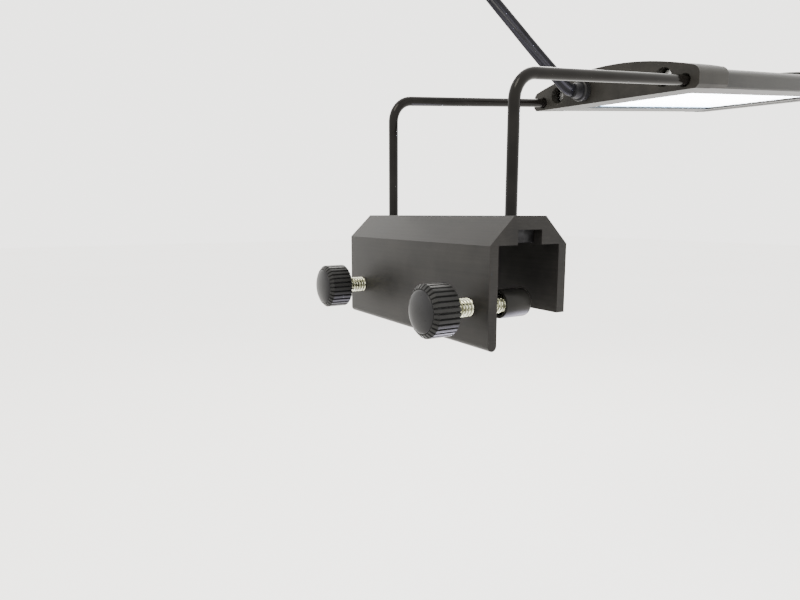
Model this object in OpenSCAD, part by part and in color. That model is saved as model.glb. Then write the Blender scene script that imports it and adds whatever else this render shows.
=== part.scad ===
// Rim-clamp LED aquarium light: a flat light head slid onto two bent wire arms that stand in a clamp.
// The origin is where the tank's rim bears on the clamp: under the roof, beside the inner plate.
// +X runs along the light over the tank, +Y along the tank's rim, +Z up. Millimetres throughout.

/* [Clamp] */
// length of the clamp extrusion along the tank's rim
clamp_len = 99.5; // [60:0.5:160]
// width of the clamp over both plates
clamp_w = 34; // [28:0.5:50]
// thickness of each clamp plate
plate_t = 3.6; // [3:0.1:6]
// height of the roof above its underside
roof_h = 9.6; // [8:0.1:14]
// width of the flat ridge on top of the roof
ridge_w = 14; // [10:0.5:20]
// width of the nut slot in the roof's underside
slot_w = 10.6; // [8:0.1:14]
// depth of the nut slot
slot_h = 5; // [4:0.1:8]
// how far the outer plate hangs below the roof's underside
outer_drop = 34.6; // [25:0.1:60]
// how far the inner plate hangs below the roof's underside
inner_drop = 24; // [15:1:50]

/* [Wire arms] */
// diameter of each wire arm
wire_d = 4.2; // [3:0.1:8]
// distance between the two wire arms
wire_gap = 80; // [50:1:120]
// height of the arms' level legs above the roof's underside, midway between them
leg_z = 58.5; // [40:0.5:120]
// centreline radius of each arm's bend
bend_r = 10; // [8:1:20]
// length of wire arm inside the light head
wire_grip = 36; // [20:1:60]
// length along the slot of the bar nut that holds each arm in the clamp
nut_len = 12; // [8:0.5:20]
// height of that nut
nut_h = 4.4; // [2:0.1:4.6]

/* [Thumbscrews] */
// distance between the two thumbscrews
screw_gap = 78; // [40:1:110]
// stud diameter, a quarter-inch thread
stud_d = 6.35; // [4:0.05:8]
// depth of the screw axes below the roof's underside
screw_drop = 21; // [12:1:30]
// how far the knob's back stands off the outer plate
knob_standoff = 9; // [4:0.5:15]
// knob diameter over its flutes
knob_d = 18; // [14:0.5:26]
// knob length without its domed cap
knob_len = 10; // [8:0.5:20]
// flutes around the knob
knob_flutes = 30; // [12:1:40]
// height of the knob's domed cap
dome_h = 1.5; // [0.5:0.1:4]
// pad diameter
pad_d = 10.2; // [8:0.1:16]
// pad length
pad_len = 11.5; // [8:0.5:16]
// gap between the pads and the inner plate, where the tank's wall goes
glass_gap = 6; // [3:0.5:12]

/* [Light head] */
// distance from the upright wires to the head's near cap
reach = 91.5; // [60:0.5:160]
// length of the head over both caps
head_len = 150; // [120:1:400]
// width of the head over its caps
head_w = 93; // [88:1:140]
// height of the crowned top above the wire axis
head_top = 12; // [8:0.1:20]
// depth of the flat bottom below the wire axis
head_bottom = 3.7; // [3.6:0.1:8]
// radius of the crowned top
crown_r = 150; // [100:5:400]
// upward tilt of the head along the arms, in degrees
head_tilt = 4.8; // [0:0.1:15]
// sideways lean of the head on its arms, in degrees
head_roll = 2.5; // [0:0.1:5]
// solid end of each cap
cap_face_t = 10; // [6:0.5:15]
// length of each cap with its sleeve
cap_len = 20.5; // [12:0.5:40]
// step from the cap's skin down to the housing's
cap_step = 1.5; // [0.8:0.1:3]
// wall of the housing extrusion
wall_t = 1.1; // [1:0.1:2]
// distance of the cap screws from the head's middle
cap_screw_y = 30; // [20:0.5:40]
// diameter of the cap screws' counterbores
counterbore_d = 8; // [6:0.5:10]
// distance of the cable gland from the head's middle
gland_y = 13; // [0:0.5:25]

/* [Lights] */
// width of the clear lens
lens_w = 66; // [50:1:76]
// thickness of the clear lens
lens_t = 1.2; // [1:0.1:2]
// width of the circuit board
board_w = 46; // [30:1:50]
// rows of lamps across the board
led_rows = 3; // [1:1:3]
// lamps in each row
led_cols = 7; // [3:1:9]
// side of one lamp
led_size = 3.5; // [2:0.5:5]

/* [Cord] */
// width of the twin cord
cord_d = 5.6; // [4:0.1:8]
// diameter of the in-line power connector
plug_d = 10; // [8:0.5:14]
// length of the connector's body
plug_len = 26; // [20:1:40]

/* [Hidden] */
$fn = 64;
eps = 0.01;
run_fit = 0.05;
// The clamp's middle plane, from the rim seat at the origin.
mid_x = -9;
outer_x = mid_x - clamp_w / 2;
inner_x = mid_x + clamp_w / 2;
// Thumbscrews.
pad_tip_x = inner_x - plate_t - glass_gap;
pad_back_x = pad_tip_x - pad_len;
knob_back_x = outer_x - knob_standoff;
pad_floor = 3;
pad_cup_depth = 3.5;
pad_cup_r = 3.9;
stud_in_knob = 6;
knob_chamfer = 1.3;
knob_taper = 1.3;
flute_depth = 0.9;
dome_r = knob_d / 2 - knob_chamfer - 0.5;
dome_sphere_r = (pow(dome_r, 2) + pow(dome_h, 2)) / (2 * dome_h);
// Wire arms: each leg turns from upright to the head's tilt.
turn_angle = 90 - head_tilt;
tangent = bend_r * tan(turn_angle / 2);
side_rise = wire_gap / 2 * sin(head_roll);
arm_steps = 14;
wire_end_z = slot_h - nut_h;
wire_bore_y = wire_gap / 2 / cos(head_roll);
// Light head, in its own frame: its origin is on the wire axis above the clamp.
head_end = reach + head_len;
hous_w = head_w - 2 * cap_step;
hous_floor = head_bottom - 0.2;
mouth_chamfer = 0.7;
nut_recess = 3;
hous_chamfer = 0.6;
inner_chamfer = 0.3;
slot_play = 0.4;
side_r = 4;
edge_chamfer = cap_step;
pocket_gap = 0.1;
window_w = lens_w - 6;
lens_z = -hous_floor + wall_t;
lens_start = reach + cap_face_t + 1;
lens_len = head_len - 2 * cap_face_t - 2;
screw_z = 2.6;
screw_d = 3.5;
screw_len = 16;
screw_head_d = 6.4;
screw_head_h = 2.4;
counterbore_depth = 7;
boss_r = 2.7;
gland_z = 2.6;
gland_r = 4.9;
gland_len = 3.5;
relief_len = 4;
gland_shank_r = 3.4;
gland_bore_r = 2.9;
lead_len = 5;
board_t = 1.6;
board_z = 3.4;
board_start = reach + cap_face_t + 4;
board_len = head_len - 2 * cap_face_t - 8;
rib_y = 20;
rib_w = 4;
led_h = 1;
led_pitch_x = 17;
led_pitch_y = 10.5;
led_first_x = reach + head_len / 2 - led_pitch_x * (led_cols - 1) / 2;
// Cord: it curves up out of the gland and is held from above, where it ends in its connector.
plug_relief_len = 8;
barrel_d = 5.5;
barrel_len = 9.5;
barrel_bore_d = 2.1;
cord_route = [
    [74.5, 12.9, 68.7], [72, 12.9, 69], [69, 13, 70.5], [65.5, 13, 72.8], [61, 13.2, 76], [55, 13.2, 80],
    [47, 13, 85.2], [38, 12.3, 90.8], [28, 11.4, 96.8], [18, 10.4, 102.8], [8, 9.4, 108.8]
];

// ---- helpers ----

// Places a part drawn in the light head's own frame.
module in_head() {
    translate([mid_x, 0, leg_z]) rotate([head_roll, -head_tilt, 0]) children();
}

// Extrudes an outline drawn in the YZ plane along +X.
module along_x(x, len) {
    translate([x, 0, 0]) rotate([90, 0, 90]) linear_extrude(len) children();
}

// A round bar along +X.
module rod_x(x, y, z, len, r) {
    translate([x, y, z]) rotate([0, 90, 0]) cylinder(h = len, r = r);
}

// A cone along +X.
module cone_x(x, y, z, len, r1, r2) {
    translate([x, y, z]) rotate([0, 90, 0]) cylinder(h = len, r1 = r1, r2 = r2);
}

// A part turned about the X axis, from points (radius, x).
module turned_x(x, y, z, points) {
    translate([x, y, z]) rotate([0, 90, 0]) rotate_extrude() polygon(points);
}

function unit(v) = v / norm(v);

// The direction of a route at its point number i.
function heading(p, i) = unit(p[min(i + 1, len(p) - 1)] - p[max(i - 1, 0)]);

// A ring of n points round a route's point, square to its heading.
// lean is a direction that the route never takes.
function ring(p, i, r, n, lean) =
    let(t = heading(p, i), side = unit(cross(t, lean)), up = cross(side, t))
    [for (k = [0 : n - 1]) p[i] + r * (cos(360 * k / n) * side + sin(360 * k / n) * up)];

// A plain tube along a route, as one closed skin of triangles.
module tube(p, r, n, lean) {
    last = len(p) - 1;
    points = [for (i = [0 : last]) each ring(p, i, r, n, lean)];
    walls = [for (i = [0 : last - 1]) for (k = [0 : n - 1])
        let(a = i * n + k, b = i * n + (k + 1) % n, c = b + n, d = a + n)
        each [[a, b, c], [a, c, d]]];
    start = [for (k = [n - 1 : -1 : 0]) k];
    end = [for (k = [0 : n - 1]) last * n + k];
    polyhedron(points, concat([start], walls, [end]));
}

// The head's crowned outline: flat bottom, rounded shoulders and chamfered lower edges.
module head_outline(inset, bottom, chamfer) {
    half = head_w / 2 - inset;
    crown = crown_r - inset;
    r = side_r - inset;
    crown_z = head_top - crown_r;
    shoulder_y = half - r;
    shoulder_z = crown_z + sqrt(pow(crown - r, 2) - pow(shoulder_y, 2));
    polygon([
        [-half, shoulder_z], [-half, -bottom + chamfer], [-half + chamfer, -bottom],
        [half - chamfer, -bottom], [half, -bottom + chamfer], [half, shoulder_z]
    ]);
    for (side = [-1, 1]) translate([side * shoulder_y, shoulder_z]) circle(r = r);
    intersection() {
        translate([0, crown_z]) circle(r = crown, $fn = 360);
        translate([-shoulder_y, -eps]) square([2 * shoulder_y, head_top + 1]);
    }
}

// ---- clamp ----

// House-shaped extrusion with a nut slot, two plates, two wire holes and two threaded holes.
module clamp_body() color([0.16, 0.15, 0.15]) {
    slope = (clamp_w - ridge_w) / 2;
    round_r = plate_t / 2;
    difference() {
        union() {
            translate([0, clamp_len / 2, 0]) rotate([90, 0, 0]) linear_extrude(clamp_len) polygon([
                [outer_x, -outer_drop + round_r], [outer_x, 0], [outer_x + slope, roof_h],
                [inner_x - slope, roof_h], [inner_x, 0], [inner_x, -inner_drop],
                [inner_x - plate_t, -inner_drop], [inner_x - plate_t, 0],
                [mid_x + slot_w / 2, 0], [mid_x + slot_w / 2, slot_h],
                [mid_x - slot_w / 2, slot_h], [mid_x - slot_w / 2, 0],
                [outer_x + plate_t, 0], [outer_x + plate_t, -outer_drop + round_r]
            ]);
            translate([outer_x + round_r, clamp_len / 2, -outer_drop + round_r])
                rotate([90, 0, 0]) cylinder(h = clamp_len, r = round_r);
        }
        for (side = [-1, 1]) {
            translate([mid_x, side * wire_gap / 2, slot_h - 1])
                cylinder(h = roof_h, d = wire_d + 2 * run_fit);
            rod_x(outer_x - 1, side * screw_gap / 2, -screw_drop, plate_t + 2, stud_d / 2 + run_fit);
        }
    }
}

// The middle line of one wire arm: upright leg, round bend and level leg.
function arm_route(y, rise) =
    let(corner = [mid_x, y, leg_z + rise], centre = corner + [bend_r, 0, -tangent])
    concat(
        [[mid_x, y, wire_end_z]],
        [for (k = [0 : arm_steps]) let(a = turn_angle * k / arm_steps)
            centre + bend_r * [-cos(a), 0, sin(a)]],
        [corner + (reach + wire_grip) * [cos(head_tilt), 0, sin(head_tilt)]]
    );

module wire_arm(y, rise) color([0.07, 0.06, 0.06]) tube(arm_route(y, rise), wire_d / 2, 32, [0, 1, 0]);

module wire_near() wire_arm(-wire_gap / 2, -side_rise);

module wire_far() wire_arm(wire_gap / 2, side_rise);

// The bar nuts in the slot that hold the two arms.
module wire_nuts() color([0.2, 0.2, 0.2]) {
    width = slot_w - slot_play;
    for (y = [-wire_gap / 2, wire_gap / 2]) translate([mid_x, y, slot_h - nut_h]) difference() {
        translate([-width / 2, -nut_len / 2, 0]) cube([width, nut_len, nut_h]);
        translate([0, 0, -1]) cylinder(h = nut_h + 2, d = wire_d);
    }
}

// ---- thumbscrews ----

module stud(y) color([0.8, 0.8, 0.7]) {
    tip_x = pad_tip_x - pad_floor;
    tail_x = knob_back_x - stud_in_knob;
    tip_len = 1;
    rod_x(tail_x, y, -screw_drop, tip_x - tip_len - tail_x, stud_d / 2);
    cone_x(tip_x - tip_len, y, -screw_drop, tip_len, stud_d / 2, stud_d / 2 - 0.8);
}

module stud_near() stud(-screw_gap / 2);

module stud_far() stud(screw_gap / 2);

// Fluted knob with a chamfered front and a shallow domed cap, blind-bored for its stud.
module knob(y) color([0.08, 0.08, 0.08]) {
    r = knob_d / 2;
    front = knob_back_x - knob_len;
    back_chamfer = 0.6;
    difference() {
        turned_x(front, y, -screw_drop, [
            [0, 0], [r - knob_chamfer, 0], [r, knob_taper],
            [r, knob_len - back_chamfer], [r - back_chamfer, knob_len], [0, knob_len]
        ]);
        for (k = [0 : knob_flutes - 1])
            translate([front - 1, y, -screw_drop]) rotate([360 * k / knob_flutes, 0, 0])
                translate([0, 0, r]) rotate([45, 0, 0])
                    translate([0, -flute_depth / 2, -flute_depth / 2])
                        cube([knob_len + 2, flute_depth, flute_depth]);
        rod_x(knob_back_x - stud_in_knob, y, -screw_drop, stud_in_knob + 1, stud_d / 2);
    }
    intersection() {
        translate([front - dome_h + dome_sphere_r, y, -screw_drop]) sphere(r = dome_sphere_r);
        rod_x(front - dome_h - 1, y, -screw_drop, dome_h + 1 + eps, dome_r);
    }
}

module knob_near() knob(-screw_gap / 2);

module knob_far() knob(screw_gap / 2);

// Rubber pad: a cup round the stud's end, with a flat face for the glass.
module pad(y) color([0.12, 0.12, 0.11]) {
    r = pad_d / 2;
    bore_r = stud_d / 2 + run_fit;
    bore_end = pad_len - pad_floor;
    round_edge = 0.8;
    turned_x(pad_back_x, y, -screw_drop, [
        [pad_cup_r, 0], [r, 0], [r, pad_len - round_edge], [r - round_edge, pad_len], [0, pad_len],
        [0, bore_end], [bore_r, bore_end], [bore_r, pad_cup_depth], [pad_cup_r, pad_cup_depth]
    ]);
}

module pad_near() pad(-screw_gap / 2);

module pad_far() pad(screw_gap / 2);

// ---- light head ----

// Aluminium extrusion: crowned top, screw channels, board ribs and an open window below.
module housing() color([0.2, 0.2, 0.19]) in_head() {
    start = reach + cap_face_t;
    len = head_len - 2 * cap_face_t;
    roof_z = head_top - cap_step - wall_t;
    rib_bottom = board_z + board_t;
    difference() {
        along_x(start, len) head_outline(cap_step, hous_floor, hous_chamfer);
        difference() {
            along_x(start - 1, len + 2) head_outline(cap_step + wall_t, hous_floor - wall_t, inner_chamfer);
            for (side = [-1, 1]) {
                rod_x(start - 2, side * cap_screw_y, screw_z, len + 4, boss_r);
                translate([start - 2, side * cap_screw_y - 1, screw_z])
                    cube([len + 4, 2, roof_z]);
                translate([start - 2, side * rib_y - rib_w / 2, rib_bottom])
                    cube([len + 4, rib_w, roof_z]);
            }
        }
        translate([start - 1, -window_w / 2, -hous_floor - 1]) cube([len + 2, window_w, wall_t + 1.5]);
        for (side = [-1, 1]) rod_x(start - 1, side * cap_screw_y, screw_z, len + 2, screw_d / 2);
    }
}

// An end cap, drawn with its outside face at x = 0 and its sleeve towards +X.
module cap_shell() {
    tongue_w = window_w - 2 * pocket_gap;
    translate([cap_face_t - 1, -tongue_w / 2, -hous_floor])
        cube([cap_len - cap_face_t + 1, tongue_w, wall_t - pocket_gap]);
    difference() {
        along_x(0, cap_len) head_outline(0, head_bottom, edge_chamfer);
        along_x(cap_face_t, cap_len) {
            head_outline(cap_step - pocket_gap, hous_floor, inner_chamfer);
            translate([-hous_w / 2 - pocket_gap, -head_bottom - 1])
                square([hous_w + 2 * pocket_gap, head_bottom]);
        }
        for (side = [-1, 1]) {
            rod_x(-1, side * cap_screw_y, screw_z, cap_face_t + 2, screw_d / 2 + 0.2);
            rod_x(-1, side * cap_screw_y, screw_z, counterbore_depth + 1, counterbore_d / 2);
            rod_x(-1, side * wire_bore_y, 0, cap_face_t + 2, wire_d / 2 + run_fit);
            cone_x(-eps, side * wire_bore_y, 0, mouth_chamfer, wire_d / 2 + mouth_chamfer, wire_d / 2);
        }
    }
}

module cap_near_clamp() color([0.13, 0.13, 0.12]) in_head() {
    difference() {
        translate([reach, 0, 0]) cap_shell();
        rod_x(reach - 1, gland_y, gland_z, cap_face_t + 2, gland_shank_r);
        rod_x(reach + cap_face_t - nut_recess, gland_y, gland_z, nut_recess + 1, gland_r + 0.1);
    }
}

module cap_outer() color([0.13, 0.13, 0.12]) in_head() {
    translate([head_end, 0, 0]) mirror([1, 0, 0]) cap_shell();
}

// The four cap screws, sunk in their counterbores.
module cap_screws() color([0.75, 0.75, 0.75]) in_head() {
    seat = counterbore_depth;
    for (side = [-1, 1]) for (flip = [0, 1])
        translate([flip ? head_end : reach, 0, 0]) mirror([flip, 0, 0]) {
        rod_x(seat - screw_head_h, side * cap_screw_y, screw_z, screw_head_h, screw_head_d / 2);
        rod_x(seat, side * cap_screw_y, screw_z, screw_len, screw_d / 2);
    }
}

// ---- lights ----

module lens() color([0.85, 0.9, 1.0, 0.4]) in_head() {
    translate([lens_start, -lens_w / 2, lens_z]) cube([lens_len, lens_w, lens_t]);
}

module lens_seals() color([0.8, 0.8, 0.78]) in_head() {
    seal_w = 1.4;
    for (side = [-1, 1])
        translate([lens_start, side * (lens_w + seal_w) / 2 - seal_w / 2, lens_z])
            cube([lens_len, seal_w, lens_t]);
}

module led_board() color([0.9, 0.9, 0.88]) in_head() {
    translate([board_start, -board_w / 2, board_z]) cube([board_len, board_w, board_t]);
}

// Screws through the board into the housing's ribs.
module board_screws() color([0.7, 0.7, 0.7]) in_head() {
    for (side = [-1, 1]) for (x = [board_start + 5, board_start + board_len - 5])
        translate([x, side * rib_y, board_z - 1]) cylinder(h = 1, d = 4);
}

// Lamp colours go round the board in turn: 0 white, 1 blue, 2 white, 3 green.
function lamp_kind(i, j) = (i + 2 * j) % 4;

module lamps(kinds) in_head() {
    for (i = [0 : led_cols - 1]) for (j = [0 : led_rows - 1])
        if (len(search(lamp_kind(i, j), kinds)) > 0)
            translate([
                led_first_x + i * led_pitch_x - led_size / 2,
                (j - (led_rows - 1) / 2) * led_pitch_y - led_size / 2,
                board_z - led_h
            ]) cube([led_size, led_size, led_h]);
}

module leds_white() color([1, 0.97, 0.85]) lamps([0, 2]);

module leds_blue() color([0.3, 0.5, 1]) lamps([1]);

module leds_green() color([0.3, 0.9, 0.5]) lamps([3]);

// ---- cable entry ----

// Round gland with its flange outside the cap and its shank through it.
module cable_gland() color([0.1, 0.1, 0.1]) in_head() {
    edge = 0.5;
    shank_end = gland_len + cap_face_t;
    turned_x(reach - gland_len, gland_y, gland_z, [
        [gland_bore_r, 0], [gland_r - edge, 0], [gland_r, edge], [gland_r, gland_len],
        [gland_shank_r, gland_len], [gland_shank_r, shank_end], [gland_bore_r, shank_end]
    ]);
}

module gland_nut() color([0.12, 0.12, 0.12]) in_head() {
    translate([reach + cap_face_t - nut_recess, gland_y, gland_z]) rotate([0, 90, 0]) difference() {
        cylinder(h = nut_recess, d = 2 * gland_r - 0.2, $fn = 6);
        translate([0, 0, -1]) cylinder(h = 5, r = gland_shank_r);
    }
}

// Tapered strain relief: a plug in the gland and a collar round the cord.
module strain_relief() color([0.08, 0.08, 0.09]) in_head() {
    cone_x(reach - gland_len - relief_len, gland_y, gland_z, relief_len, 3.3, 3.9);
    rod_x(reach - gland_len, gland_y, gland_z, gland_len + cap_face_t, gland_bore_r);
}

// Two leads from the gland up to the terminal.
module inner_leads() color([0.6, 0.1, 0.1]) in_head() {
    lead_r = 0.8;
    half_gap = 1.2;
    below_axis = 0.6;
    for (side = [-1, 1])
        rod_x(reach + cap_face_t, gland_y + side * half_gap, gland_z - below_axis, lead_len, lead_r);
}

// Push-in terminal under the board's near end.
module lead_terminal() color([0.92, 0.92, 0.9]) in_head() {
    size = [6, 7, 3];
    translate([reach + cap_face_t + lead_len, gland_y - size[1] / 2, board_z - size[2]]) cube(size);
}

// ---- cord ----

module cord_lead() color([0.06, 0.06, 0.08]) tube(cord_route, cord_d / 2, 8, [1, 1, 0.3]);

// Places a part drawn along +Z at the cord's far end, further along by the given distance.
module on_cord_end(distance) {
    last = len(cord_route) - 1;
    h = heading(cord_route, last);
    translate(cord_route[last] + distance * h) rotate([0, acos(h[2]), atan2(h[1], h[0])]) children();
}

// Tapered sleeve where the cord enters the connector.
module plug_relief() color([0.08, 0.08, 0.09]) on_cord_end(0)
    cylinder(h = plug_relief_len, r1 = cord_d / 2 + 0.4, r2 = plug_d / 2 - 1);

module plug_body() color([0.08, 0.08, 0.09]) on_cord_end(plug_relief_len) cylinder(h = plug_len, d = plug_d);

module plug_barrel() color([0.8, 0.8, 0.78]) on_cord_end(plug_relief_len + plug_len) difference() {
    cylinder(h = barrel_len, d = barrel_d);
    translate([0, 0, 1]) cylinder(h = barrel_len, d = barrel_bore_d);
}

// ---- what is drawn ----

clamp_body();
wire_near();
wire_far();
wire_nuts();
stud_near();
stud_far();
knob_near();
knob_far();
pad_near();
pad_far();
housing();
cap_near_clamp();
cap_outer();
cap_screws();
lens();
lens_seals();
led_board();
board_screws();
leds_white();
leds_blue();
leds_green();
cable_gland();
gland_nut();
strain_relief();
inner_leads();
lead_terminal();
cord_lead();
plug_relief();
plug_body();
plug_barrel();
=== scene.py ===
# Looks of the rim-clamp aquarium light, built round its CAD frame. Metres, in the frame's own axes.
import math

import bmesh
import bpy
from mathutils import Matrix, Vector


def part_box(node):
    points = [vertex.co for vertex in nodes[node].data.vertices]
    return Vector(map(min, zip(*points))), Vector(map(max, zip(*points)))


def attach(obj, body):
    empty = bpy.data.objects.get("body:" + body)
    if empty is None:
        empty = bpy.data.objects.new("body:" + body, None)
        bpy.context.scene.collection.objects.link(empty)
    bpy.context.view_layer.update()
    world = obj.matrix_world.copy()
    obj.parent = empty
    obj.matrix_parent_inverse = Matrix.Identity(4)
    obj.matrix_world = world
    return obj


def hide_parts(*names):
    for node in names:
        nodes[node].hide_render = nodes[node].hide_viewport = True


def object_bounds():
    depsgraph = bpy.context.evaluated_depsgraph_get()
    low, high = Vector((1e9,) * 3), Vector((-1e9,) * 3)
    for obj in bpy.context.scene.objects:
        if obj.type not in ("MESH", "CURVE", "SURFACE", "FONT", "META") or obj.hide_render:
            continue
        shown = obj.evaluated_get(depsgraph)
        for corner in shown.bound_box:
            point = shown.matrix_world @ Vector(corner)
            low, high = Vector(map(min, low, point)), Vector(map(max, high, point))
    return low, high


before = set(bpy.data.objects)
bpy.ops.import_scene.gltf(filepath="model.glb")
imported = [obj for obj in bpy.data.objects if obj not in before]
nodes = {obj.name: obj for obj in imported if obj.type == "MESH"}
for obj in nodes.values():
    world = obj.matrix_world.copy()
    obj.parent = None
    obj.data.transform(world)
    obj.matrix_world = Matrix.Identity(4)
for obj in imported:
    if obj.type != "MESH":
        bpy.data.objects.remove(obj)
cad_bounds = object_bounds()
MM = 0.001

# ---- camera: the photograph's viewing angle ----

CAMERA_AT = (-0.1451, -0.1932, 0.0100)
CAMERA_YAW = 59.1  # degrees from +X towards +Y
CAMERA_DOWN = 8.4  # degrees below level
LENS_MM = 26.1


def make_camera():
    data = bpy.data.cameras.new("view")
    data.lens = LENS_MM
    data.sensor_width = 36
    data.clip_start = 0.01
    camera = bpy.data.objects.new("view", data)
    camera.location = CAMERA_AT
    camera.rotation_euler = (
        math.radians(90 - CAMERA_DOWN),
        0,
        math.radians(CAMERA_YAW - 90),
    )
    bpy.context.scene.collection.objects.link(camera)
    bpy.context.scene.camera = camera


# ---- places that the frame gives ----


def centre(node):
    low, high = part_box(node)
    return [(a + b) / 2 for a, b in zip(low, high)]


# The head leans on its arms by the same two angles as in the CAD.
HEAD_TILT = math.radians(4.8)
HEAD_ROLL = math.radians(2.5)
HEAD_ORIGIN = Vector((-9 * MM, 0, 58.5 * MM))
HEAD = (
    Matrix.Translation(HEAD_ORIGIN)
    @ Matrix.Rotation(-HEAD_TILT, 4, "Y")
    @ Matrix.Rotation(HEAD_ROLL, 4, "X")
)

# The thumbscrews' axes and thread, for the thread's own material and its painted shade in the valleys.
SCREW_Y = centre("stud_far")[1]
SCREW_Z = centre("stud_far")[2]
VALLEY_R = 2.5 * MM
CREST_R = 3.1 * MM

# ---- material helpers ----


class Shader:
    """A principled material with a few short ways to build its nodes."""

    def __init__(self, name, color, roughness, metallic=0.0):
        self.mat = bpy.data.materials.new(name)
        self.mat.use_nodes = True
        self.tree = self.mat.node_tree
        self.tree.nodes.clear()
        self.out = self.tree.nodes.new("ShaderNodeOutputMaterial")
        self.bsdf = self.tree.nodes.new("ShaderNodeBsdfPrincipled")
        self.link(self.bsdf.outputs[0], self.out.inputs[0])
        self.set("Base Color", (*color, 1))
        self.set("Roughness", roughness)
        self.set("Metallic", metallic)
        self.coords = self.tree.nodes.new("ShaderNodeTexCoord").outputs["Object"]

    def set(self, socket, value):
        self.bsdf.inputs[socket].default_value = value

    def link(self, a, b):
        self.tree.links.new(a, b)

    def mapped(self, scale, rotation=(0, 0, 0)):
        node = self.tree.nodes.new("ShaderNodeMapping")
        node.inputs["Scale"].default_value = scale
        node.inputs["Rotation"].default_value = rotation
        self.link(self.coords, node.inputs["Vector"])
        return node.outputs[0]

    def noise(self, vector, scale, detail=3.0, rough=0.55):
        node = self.tree.nodes.new("ShaderNodeTexNoise")
        node.inputs["Scale"].default_value = scale
        node.inputs["Detail"].default_value = detail
        node.inputs["Roughness"].default_value = rough
        self.link(vector, node.inputs["Vector"])
        return node.outputs["Fac"]

    def ramp(self, value, stops):
        node = self.tree.nodes.new("ShaderNodeValToRGB")
        ramp = node.color_ramp
        while len(ramp.elements) < len(stops):
            ramp.elements.new(0.5)
        for element, (place, color) in zip(ramp.elements, stops):
            element.position = place
            element.color = (*color, 1) if len(color) == 3 else color
        self.link(value, node.inputs[0])
        return node.outputs["Color"]

    def scaled(self, value, low, high):
        node = self.tree.nodes.new("ShaderNodeMapRange")
        node.inputs["To Min"].default_value = low
        node.inputs["To Max"].default_value = high
        self.link(value, node.inputs["Value"])
        return node.outputs[0]

    def math(self, kind, a, b):
        node = self.tree.nodes.new("ShaderNodeMath")
        node.operation = kind
        for socket, value in zip(node.inputs, (a, b)):
            if isinstance(value, (int, float)):
                socket.default_value = value
            else:
                self.link(value, socket)
        return node.outputs[0]

    def mix(self, factor, color, b):
        node = self.tree.nodes.new("ShaderNodeMix")
        node.data_type = "RGBA"
        self.link(factor, node.inputs["Factor"])
        node.inputs[6].default_value = (*color, 1)
        self.link(b, node.inputs[7])
        return node.outputs[2]

    def bump(self, height, strength, distance):
        node = self.tree.nodes.new("ShaderNodeBump")
        node.inputs["Strength"].default_value = strength
        node.inputs["Distance"].default_value = distance
        self.link(height, node.inputs["Height"])
        self.link(node.outputs[0], self.bsdf.inputs["Normal"])

    def tint(self, value, dark, light):
        self.link(self.ramp(value, [(0.3, dark), (0.7, light)]), self.bsdf.inputs["Base Color"])

    def sheen_of(self, value, low, high):
        self.link(self.scaled(value, low, high), self.bsdf.inputs["Roughness"])


def extruded(name, dark, light, roughness, rotation=(0, 0, 0), along="y", metallic=0.3):
    """Anodised extrusion: fine die lines along it, cloudy dye, and saw marks on its cut ends."""
    s = Shader(name, light, roughness, metallic)
    s.set("Specular IOR Level", 0.12)
    long, short = 14, 900
    scale = (short, long, short) if along == "y" else (long, short, short)
    lines = s.noise(s.mapped(scale, rotation), 1.0, 4)
    cloud = s.noise(s.mapped((1, 1, 1)), 55, 4)
    saw = s.noise(s.mapped((260, 60, 1900)), 1.0, 3)
    geometry = s.tree.nodes.new("ShaderNodeNewGeometry")
    split = s.tree.nodes.new("ShaderNodeSeparateXYZ")
    s.link(geometry.outputs["Normal"], split.inputs[0])
    facing = s.math("ABSOLUTE", split.outputs["Y" if along == "y" else "X"], 0.0)
    is_end = s.math("GREATER_THAN", facing, 0.9)
    along_skin = s.math("MULTIPLY", s.math("SUBTRACT", 1.0, is_end), lines)
    height = s.math("ADD", along_skin, s.math("MULTIPLY", is_end, saw))
    grain = s.math("ADD", s.math("MULTIPLY", cloud, 0.7), s.math("MULTIPLY", height, 0.3))
    s.tint(grain, dark, light)
    s.sheen_of(grain, roughness - 0.08, roughness + 0.1)
    s.bump(height, 0.25, 0.00012)
    return s.mat


def moulded(name, dark, light, roughness, grain=1400, depth=0.00004, specular=0.1):
    """Moulded plastic or rubber: a fine even grain over faint cloudiness."""
    s = Shader(name, light, roughness)
    fine = s.noise(s.mapped((1, 1, 1)), grain, 3)
    cloud = s.noise(s.mapped((1, 1, 1)), 90, 3)
    s.tint(cloud, dark, light)
    s.sheen_of(fine, roughness - 0.07, roughness + 0.07)
    s.bump(fine, 0.3, depth)
    s.set("Specular IOR Level", specular)
    return s.mat


def metal(name, dark, light, roughness):
    """Bright plated metal with fine scratches and stains."""
    s = Shader(name, light, roughness, 1.0)
    stain = s.noise(s.mapped((1, 1, 1)), 420, 4)
    scratch = s.noise(s.mapped((900, 2600, 2600)), 1.0, 3)
    s.tint(stain, dark, light)
    s.sheen_of(scratch, roughness - 0.08, roughness + 0.12)
    s.bump(scratch, 0.2, 0.00003)
    return s.mat


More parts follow.
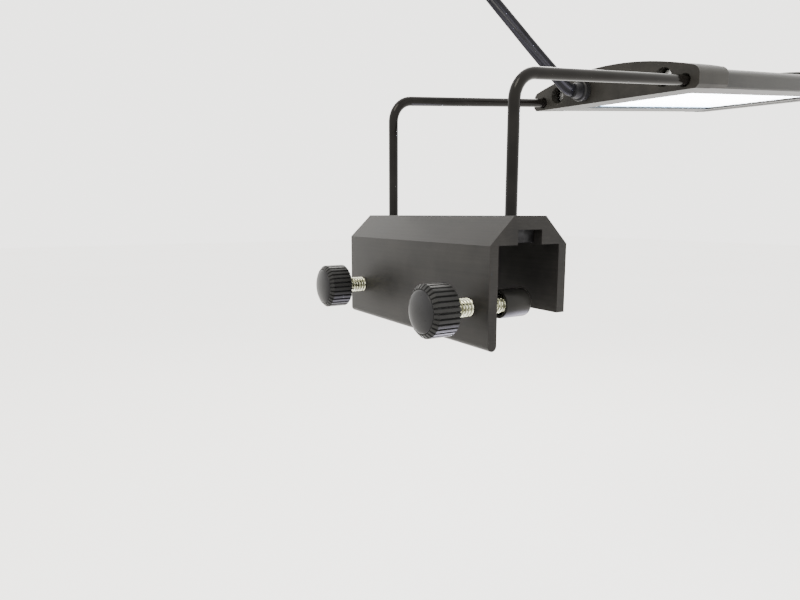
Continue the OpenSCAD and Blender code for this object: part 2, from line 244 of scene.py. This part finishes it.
def threaded(name, dark, light, valley_shade, roughness):
    """Plated thread: bright crests, with the valleys darkened by painted shade, by distance from the screw's
    axis.
    """
    s = Shader(name, light, roughness, 1.0)
    split = s.tree.nodes.new("ShaderNodeSeparateXYZ")
    s.link(s.coords, split.inputs[0])
    y_off = s.math("SUBTRACT", s.math("ABSOLUTE", split.outputs["Y"], 0.0), SCREW_Y)
    z_off = s.math("SUBTRACT", split.outputs["Z"], SCREW_Z)
    squares = s.math("ADD", s.math("MULTIPLY", y_off, y_off), s.math("MULTIPLY", z_off, z_off))
    radius = s.math("SQRT", squares, 0.0)
    # Painted shade: the thread valleys take the dark colour, the crests the plated colour.
    crest = s.tree.nodes.new("ShaderNodeMapRange")
    crest.inputs["From Min"].default_value = VALLEY_R
    crest.inputs["From Max"].default_value = CREST_R
    s.link(radius, crest.inputs["Value"])
    stain = s.ramp(s.noise(s.mapped((1, 1, 1)), 420, 4), [(0.3, dark), (0.7, light)])
    s.link(s.mix(crest.outputs[0], valley_shade, stain), s.bsdf.inputs["Base Color"])
    return s.mat


def lit(name, color, strength):
    """A lit lamp: bright, a little uneven over its face."""
    s = Shader(name, color, 0.4)
    uneven = s.noise(s.mapped((1, 1, 1)), 600, 2)
    pale = [min(1, c * 1.1 + 0.1) for c in color]
    s.link(s.ramp(uneven, [(0.3, color), (0.7, pale)]), s.bsdf.inputs["Emission Color"])
    s.set("Emission Strength", strength)
    return s.mat


# ---- mesh helpers ----


def mesh_piece(name, vertices, faces, material, body, replaced=(), smooth=True):
    """A new piece from vertices and faces, riding on a body and standing for CAD nodes."""
    mesh = bpy.data.meshes.new(name)
    mesh.from_pydata([tuple(v) for v in vertices], [], faces)
    work = bmesh.new()
    work.from_mesh(mesh)
    bmesh.ops.remove_doubles(work, verts=work.verts, dist=1e-7)
    bmesh.ops.recalc_face_normals(work, faces=work.faces)
    work.to_mesh(mesh)
    work.free()
    mesh.polygons.foreach_set("use_smooth", [smooth] * len(mesh.polygons))
    mesh.materials.append(material)
    piece = bpy.data.objects.new(name, mesh)
    bpy.context.scene.collection.objects.link(piece)
    if smooth:
        edge = piece.modifiers.new("crease", "EDGE_SPLIT")
        edge.split_angle = math.radians(38)
    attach(piece, body)
    if replaced:
        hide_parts(*replaced)
    return piece


def grid_faces(rows, columns, closed=True):
    """Quads between rings of points; closed joins each ring's last point to its first."""
    span = columns if closed else columns - 1
    return [
        (
            r * columns + c,
            r * columns + (c + 1) % columns,
            (r + 1) * columns + (c + 1) % columns,
            (r + 1) * columns + c,
        )
        for r in range(rows - 1)
        for c in range(span)
    ]


def lathe(profile, place, steps=96, ripple=None):
    """Rings round +X at place from profile points (x, radius); ripple changes the radius by angle."""
    vertices = []
    for x, radius in profile:
        for k in range(steps):
            angle = 2 * math.pi * k / steps
            r = radius if ripple is None else ripple(x, radius, angle)
            vertices.append(place @ Vector((x, r * math.cos(angle), r * math.sin(angle))))
    faces = grid_faces(len(profile), steps)
    for row in (0, len(profile) - 1):
        if profile[row][1] > 1e-6:
            faces.append(tuple(row * steps + k for k in range(steps)))
    return vertices, faces


def at(x, y, z):
    return Matrix.Translation((x, y, z))


def sweep(path, outline, twist=lambda t: 0.0, first=Vector((0, 1, 0))):
    """A closed tube: outline points (a, b) carried along a path without spinning, plus a twist."""
    vertices = []
    side = first
    count = len(path)
    for i, p in enumerate(path):
        heading = (path[min(i + 1, count - 1)] - path[max(i - 1, 0)]).normalized()
        side = (side - heading * side.dot(heading)).normalized()
        up = heading.cross(side)
        turn = twist(i / (count - 1))
        a = side * math.cos(turn) + up * math.sin(turn)
        b = heading.cross(a)
        vertices += [p + a * u + b * v for u, v in outline]
    n = len(outline)
    faces = grid_faces(count, n)
    faces.append(tuple(range(n)))
    faces.append(tuple((count - 1) * n + k for k in range(n)))
    return vertices, faces


def spline(points, steps):
    """A smooth curve through points, by Catmull-Rom, with steps to each span."""
    ps = [points[0] * 2 - points[1]] + points + [points[-1] * 2 - points[-2]]
    out = []
    for i in range(1, len(ps) - 2):
        p0, p1, p2, p3 = ps[i - 1 : i + 3]
        for k in range(steps):
            t = k / steps
            square = (2 * p0 - 5 * p1 + 4 * p2 - p3) * t**2
            cube = (3 * p1 - p0 - 3 * p2 + p3) * t**3
            out.append(0.5 * (2 * p1 + (p2 - p0) * t + square + cube))
    out.append(points[-1])
    return out


# ---- cord: a flat twin lead, first because its solids depend on the camera ----

CORD_WIDTH = 5.6 * MM
CORD_CORE = 2.85 * MM
CORD_ROUTE = [
    (74.5, 12.9, 68.7), (72, 12.9, 69), (69, 13, 70.5), (65.5, 13, 72.8), (61, 13.2, 76), (55, 13.2, 80),
    (47, 13, 85.2), (38, 12.3, 90.8), (28, 11.4, 96.8), (18, 10.4, 102.8), (8, 9.4, 108.8),
]


def twin_outline():
    """Two round cores side by side, with the web between them."""
    r = CORD_CORE / 2
    off = CORD_WIDTH / 2 - r
    points = []
    for sign in (1, -1):
        for k in range(15):
            angle = math.radians(-130 + 260 * k / 14)
            points.append((sign * (off + r * math.cos(angle)), sign * r * math.sin(angle)))
    return points


def make_cord(material):
    path = spline([Vector(p) * MM for p in CORD_ROUTE], 8)

    def twist(t):
        return math.radians(62 - 70 * t)

    vertices, faces = sweep(path, twin_outline(), twist)
    piece = mesh_piece("twin_cord", vertices, faces, material, "head", ["cord_lead"])
    return piece, path


def cord_end(path):
    """A frame whose +X runs on from the cord's far end."""
    heading = (path[-1] - path[-2]).normalized()
    return Matrix.Translation(path[-1]) @ heading.to_track_quat("X", "Z").to_matrix().to_4x4()


# ---- the pieces ----


def arm_path(y, node):
    """The middle line of a wire arm, from the CAD's own angles and the arm's place."""
    bend_r = 10 * MM
    rise = y * math.sin(HEAD_ROLL)
    turn = math.pi / 2 - HEAD_TILT
    corner = Vector((HEAD_ORIGIN.x, y, HEAD_ORIGIN.z + rise))
    bend = corner + Vector((bend_r, 0, -bend_r * math.tan(turn / 2)))
    foot = Vector((HEAD_ORIGIN.x, y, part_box(node)[0][2]))
    path = [foot]
    steps = 40
    for k in range(steps + 1):
        a = turn * k / steps
        path.append(bend + bend_r * Vector((-math.cos(a), 0, math.sin(a))))
    reach = 127.5 * MM
    path.append(corner + reach * Vector((math.cos(HEAD_TILT), 0, math.sin(HEAD_TILT))))
    return path


def circle(radius, steps):
    angles = [2 * math.pi * k / steps for k in range(steps)]
    return [(radius * math.cos(a), radius * math.sin(a)) for a in angles]


def make_arms(material):
    for side, y in (("near", -40 * MM), ("far", 40 * MM)):
        vertices, faces = sweep(arm_path(y, f"wire_{side}"), circle(2.1 * MM, 40))
        mesh_piece(f"arm_rod_{side}", vertices, faces, material, "clamp", [f"wire_{side}"])


KNOB_FLUTES = 30
FLUTE_STEPS = 12
LAND_STEPS = 7
FLUTE_DEPTH = 0.9 * MM


def knob_ripple(x, radius, angle):
    """Straight sharp V grooves between wide flat lands."""
    if radius < 6.4 * MM:
        return radius
    phase = (angle * KNOB_FLUTES / (2 * math.pi)) % 1
    land = LAND_STEPS / FLUTE_STEPS
    if phase <= land:
        return radius
    across = (phase - land) / (1 - land)
    return radius - FLUTE_DEPTH * (1 - abs(2 * across - 1))


def make_knob(side, black, dome_black):
    low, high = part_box(f"knob_{side}")
    _, y, z = centre(f"knob_{side}")
    length = high[0] - low[0]
    radius = (high[2] - low[2]) / 2
    dome = 1.5 * MM
    chamfer = 1.3 * MM
    dome_r = radius - chamfer - 0.5 * MM
    profile = [
        (dome + 0.5 * MM, dome_r - 0.2 * MM), (dome, dome_r + 0.15 * MM), (dome, radius - chamfer),
        (dome + chamfer, radius), (length * 0.5, radius),
        (length - 0.6 * MM, radius), (length, radius - 0.6 * MM), (length, 3.2 * MM),
    ]
    vertices, faces = lathe(profile, at(low[0], y, z), KNOB_FLUTES * FLUTE_STEPS, knob_ripple)
    mesh_piece(f"fluted_knob_{side}", vertices, faces, black, f"screw_{side}", [f"knob_{side}"])
    cap = []
    rings = 14
    for k in range(rings + 1):
        t = k / rings * math.pi / 2
        cap.append((dome * (1 - math.cos(t)), dome_r * math.sin(t)))
    cap.append((dome + 0.6 * MM, dome_r))
    vertices, faces = lathe(cap, at(low[0], y, z), 96)
    mesh_piece(f"knob_dome_{side}", vertices, faces, dome_black, f"screw_{side}", [])


THREAD_PITCH = 1.27 * MM
# The tip stands just off the floor of the pad's bore.
TIP_GAP = 0.05 * MM


def make_stud(side, material):
    low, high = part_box(f"stud_{side}")
    _, y, z = centre(f"stud_{side}")
    radius = (high[2] - low[2]) / 2
    depth = 0.75 * MM
    steps = 40
    rings = int((high[0] - low[0]) / THREAD_PITCH * 10)
    tip = 1.2 * MM
    length = high[0] - TIP_GAP - low[0]
    profile = [(low[0] + length * k / rings, radius) for k in range(rings + 1)]
    profile = [(profile[0][0], 0.0)] + profile + [(profile[-1][0], 0.0)]

    def thread(x, r, angle):
        if r == 0:
            return r
        phase = (x / THREAD_PITCH - angle / (2 * math.pi)) % 1
        crest = min(1.0, 1.25 * abs(2 * phase - 1))
        taper = max(0.0, (x - (high[0] - tip)) / tip) * 0.8 * MM
        return r - depth * (1 - crest) - taper

    vertices, faces = lathe(profile, at(0, y, z), steps, thread)
    mesh_piece(f"threaded_stud_{side}", vertices, faces, material, f"screw_{side}", [f"stud_{side}"])


def make_pad(side, material):
    low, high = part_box(f"pad_{side}")
    _, y, z = centre(f"pad_{side}")
    length = high[0] - low[0]
    radius = (high[2] - low[2]) / 2
    cup = 3.9 * MM
    bore = 3.25 * MM
    edge = 0.35 * MM
    profile = [
        (length - 3 * MM, 0), (length - 3 * MM, bore), (3.5 * MM, bore), (3.5 * MM, cup), (edge, cup),
        (0.1 * MM, cup + 0.12 * MM), (0, cup + edge), (0, radius - edge), (0.1 * MM, radius - 0.1 * MM),
        (edge, radius), (length * 0.5, radius), (length - 1.0 * MM, radius),
        (length - 0.5 * MM, radius - 0.12 * MM),
        (length - 0.15 * MM, radius - 0.45 * MM), (length, radius - 1.0 * MM), (length, 0),
    ]
    vertices, faces = lathe(profile, at(low[0], y, z), 80)
    mesh_piece(f"rubber_pad_{side}", vertices, faces, material, f"pad_{side}", [f"pad_{side}"])


def make_plug(path, black, relief):
    end = cord_end(path)
    body_len = 26 * MM
    start = 8 * MM
    r = 5 * MM
    profile = [(start, 0), (start, r - 1.2 * MM), (start + 0.8 * MM, r - 0.3 * MM), (start + 1.6 * MM, r)]
    for k in range(7):
        x = start + (4 + 2.0 * k) * MM
        profile += [(x, r), (x + 0.3 * MM, r - 0.5 * MM), (x + 1.1 * MM, r - 0.5 * MM), (x + 1.4 * MM, r)]
    tip = start + body_len
    profile += [(tip - 1 * MM, r), (tip - 0.3 * MM, r - 0.3 * MM), (tip, r - 1 * MM), (tip, 0)]
    vertices, faces = lathe(profile, end, 64)
    body = mesh_piece("plug_grip", vertices, faces, black, "head", ["plug_body"])
    sleeve = [(0, 0), (0, 3.2 * MM)]
    for k in range(4):
        x = (1 + 1.7 * k) * MM
        taper = (3.2 + 0.2 * k) * MM
        groove = taper - 0.5 * MM
        sleeve += [(x, taper), (x + 0.2 * MM, groove), (x + 0.7 * MM, groove), (x + 0.9 * MM, taper)]
    sleeve += [(start, 4 * MM), (start, 0)]
    vertices, faces = lathe(sleeve, end, 64)
    collar = mesh_piece("plug_sleeve", vertices, faces, relief, "head", ["plug_relief"])
    return [body, collar, nodes["plug_barrel"]]


# ---- CAD nodes that stay: softened edges and their materials ----


def finish_node(name, material, edge=0.0, segments=3):
    piece = nodes[name]
    piece.data.materials.clear()
    piece.data.materials.append(material)
    if edge:
        weld = piece.modifiers.new("weld", "WELD")
        weld.merge_threshold = 1e-6
        bevel = piece.modifiers.new("edges", "BEVEL")
        bevel.width = edge
        bevel.segments = segments
        bevel.limit_method = "ANGLE"
        bevel.angle_limit = math.radians(40)
        weighted = piece.modifiers.new("flat_faces", "WEIGHTED_NORMAL")
        weighted.weight = 90
        piece.data.polygons.foreach_set("use_smooth", [True] * len(piece.data.polygons))


def lens_material():
    """Clear cover, lit from behind: white over the lamps, blue and cyan towards its edges."""
    s = Shader("lens_lit", (0.9, 0.94, 1.0), 0.12)
    s.set("Transmission Weight", 0.55)
    s.set("IOR", 1.49)
    local = s.tree.nodes.new("ShaderNodeMapping")
    local.vector_type = "TEXTURE"
    local.inputs["Location"].default_value = HEAD_ORIGIN
    local.inputs["Rotation"].default_value = HEAD.to_euler("XYZ")
    s.link(s.coords, local.inputs["Vector"])
    split = s.tree.nodes.new("ShaderNodeSeparateXYZ")
    s.link(local.outputs[0], split.inputs[0])
    across = s.math("ABSOLUTE", split.outputs["Y"], 0.0)
    glow = s.ramp(
        s.math("MULTIPLY", across, 1 / 0.033),
        [(0.0, (1, 1, 1)), (0.8, (0.93, 0.96, 1.0)), (0.93, (0.25, 0.62, 1.0)), (1.0, (0.05, 0.28, 0.85))],
    )
    s.link(glow, s.bsdf.inputs["Emission Color"])
    s.set("Emission Strength", 8.0)
    return s.mat


def dress_nodes():
    black_alloy = extruded("anodised_black", (0.006, 0.0057, 0.0057), (0.018, 0.017, 0.016), 0.42)
    head_turn = tuple(HEAD.to_euler("XYZ"))
    grey_alloy = extruded("anodised_grey", (0.008, 0.008, 0.008), (0.022, 0.0215, 0.02), 0.4, head_turn, "x")
    cap_plastic = moulded("cap_plastic", (0.008, 0.0075, 0.0065), (0.016, 0.015, 0.013), 0.4)
    nylon = moulded("gland_nylon", (0.006, 0.006, 0.0065), (0.013, 0.013, 0.013), 0.32)
    steel = metal("bright_steel", (0.45, 0.45, 0.44), (0.7, 0.7, 0.68), 0.3)
    finish_node("clamp_body", black_alloy, 0.25 * MM)
    finish_node("housing", grey_alloy, 0.2 * MM)
    finish_node("cap_near_clamp", cap_plastic, 0.3 * MM)
    finish_node("cap_outer", cap_plastic, 0.3 * MM)
    finish_node("cable_gland", nylon, 0.25 * MM)
    relief = moulded("relief_rubber", (0.005, 0.005, 0.006), (0.011, 0.011, 0.012), 0.4)
    finish_node("strain_relief", relief, 0.2 * MM)
    finish_node("wire_nuts", metal("black_oxide", (0.01, 0.01, 0.01), (0.03, 0.03, 0.032), 0.45), 0.15 * MM)
    finish_node("cap_screws", steel, 0.15 * MM)
    finish_node("board_screws", steel, 0.1 * MM)
    finish_node("gland_nut", nylon, 0.1 * MM)
    finish_node("lens", lens_material())
    silicone = moulded("silicone", (0.55, 0.56, 0.58), (0.7, 0.7, 0.72), 0.4)
    finish_node("lens_seals", silicone, 0.1 * MM)
    solder_mask = moulded("solder_mask", (0.7, 0.7, 0.68), (0.85, 0.85, 0.83), 0.35)
    finish_node("led_board", solder_mask, 0.1 * MM)
    finish_node("leds_white", lit("lamp_white", (1.0, 0.96, 0.88), 12))
    finish_node("leds_blue", lit("lamp_blue", (0.1, 0.3, 1.0), 12))
    finish_node("leds_green", lit("lamp_green", (0.1, 1.0, 0.4), 10))
    lead_skin = moulded("lead_skin", (0.3, 0.02, 0.02), (0.45, 0.04, 0.03), 0.4)
    finish_node("inner_leads", lead_skin, 0.1 * MM)
    terminal = moulded("terminal_nylon", (0.75, 0.75, 0.72), (0.85, 0.85, 0.82), 0.4)
    finish_node("lead_terminal", terminal, 0.2 * MM)
    finish_node("plug_barrel", metal("nickel", (0.6, 0.6, 0.58), (0.8, 0.8, 0.76), 0.22), 0.15 * MM)


# ---- stage and light ----


def area_light(name, place, target, size, power, color):
    data = bpy.data.lights.new(name, "AREA")
    data.shape = "DISK"
    data.size = size
    data.energy = power
    data.color = color
    lamp = bpy.data.objects.new(name, data)
    lamp.location = place
    aim = Vector(target) - Vector(place)
    lamp.rotation_euler = aim.to_track_quat("-Z", "Y").to_euler()
    bpy.context.scene.collection.objects.link(lamp)


def make_stage():
    floor_z = cad_bounds[0][2] - 0.25
    size = 6.0
    mesh = bpy.data.meshes.new("floor")
    corners = [(-size, -size), (size, -size), (size, size), (-size, size)]
    mesh.from_pydata([(x, y, floor_z) for x, y in corners], [], [(0, 1, 2, 3)])
    floor = bpy.data.objects.new("floor", mesh)
    s = Shader("pale_floor", (0.88, 0.88, 0.86), 0.9)
    s.tint(s.noise(s.mapped((1, 1, 1)), 2.0, 2), (0.94, 0.935, 0.92), (0.96, 0.955, 0.945))
    mesh.materials.append(s.mat)
    bpy.context.scene.collection.objects.link(floor)
    world = bpy.data.worlds.new("studio")
    world.use_nodes = True
    world.node_tree.nodes["Background"].inputs["Color"].default_value = (1.0, 0.985, 0.95, 1)
    world.node_tree.nodes["Background"].inputs["Strength"].default_value = 3.2
    bpy.context.scene.world = world
    focus = (0.03, 0, 0.03)
    area_light("key", (-0.5, -0.3, 0.9), focus, 0.5, 9, (1.0, 0.94, 0.82))
    area_light("rim", (0.5, 0.6, 0.5), focus, 0.5, 5, (1.0, 0.97, 0.92))
    area_light("under", (0.12, 0.0, -0.22), (0.08, 0, 0.05), 0.25, 1.5, (0.80, 0.76, 1.0))


# ---- everything in order ----

make_camera()
cord_skin = moulded("cord_skin", (0.004, 0.004, 0.005), (0.008, 0.008, 0.010), 0.26, 900, 0.000002, 0.08)
plug_skin = moulded("plug_skin", (0.005, 0.005, 0.0055), (0.012, 0.012, 0.0125), 0.4)
cord_piece, cord_path = make_cord(cord_skin)
plug_pieces = make_plug(cord_path, plug_skin, cord_skin)
make_arms(moulded("arm_coating", (0.003, 0.0026, 0.0022), (0.006, 0.0054, 0.0048), 0.12, 900, 0.000001, 0.08))
knob_black = moulded("knob_plastic", (0.006, 0.006, 0.006), (0.013, 0.013, 0.013), 0.36)
dome_black = moulded("dome_plastic", (0.006, 0.006, 0.0065), (0.012, 0.012, 0.013), 0.3)
# The third colour is painted shade for the thread valleys.
zinc = threaded("yellow_zinc", (0.5, 0.5, 0.36), (0.86, 0.87, 0.68), (0.05, 0.05, 0.045), 0.25)
rubber = moulded("pad_rubber_skin", (0.006, 0.006, 0.0055), (0.013, 0.0125, 0.0115), 0.36)
for side in ("near", "far"):
    make_knob(side, knob_black, dome_black)
    make_stud(side, zinc)
    make_pad(side, rubber)
dress_nodes()
make_stage()
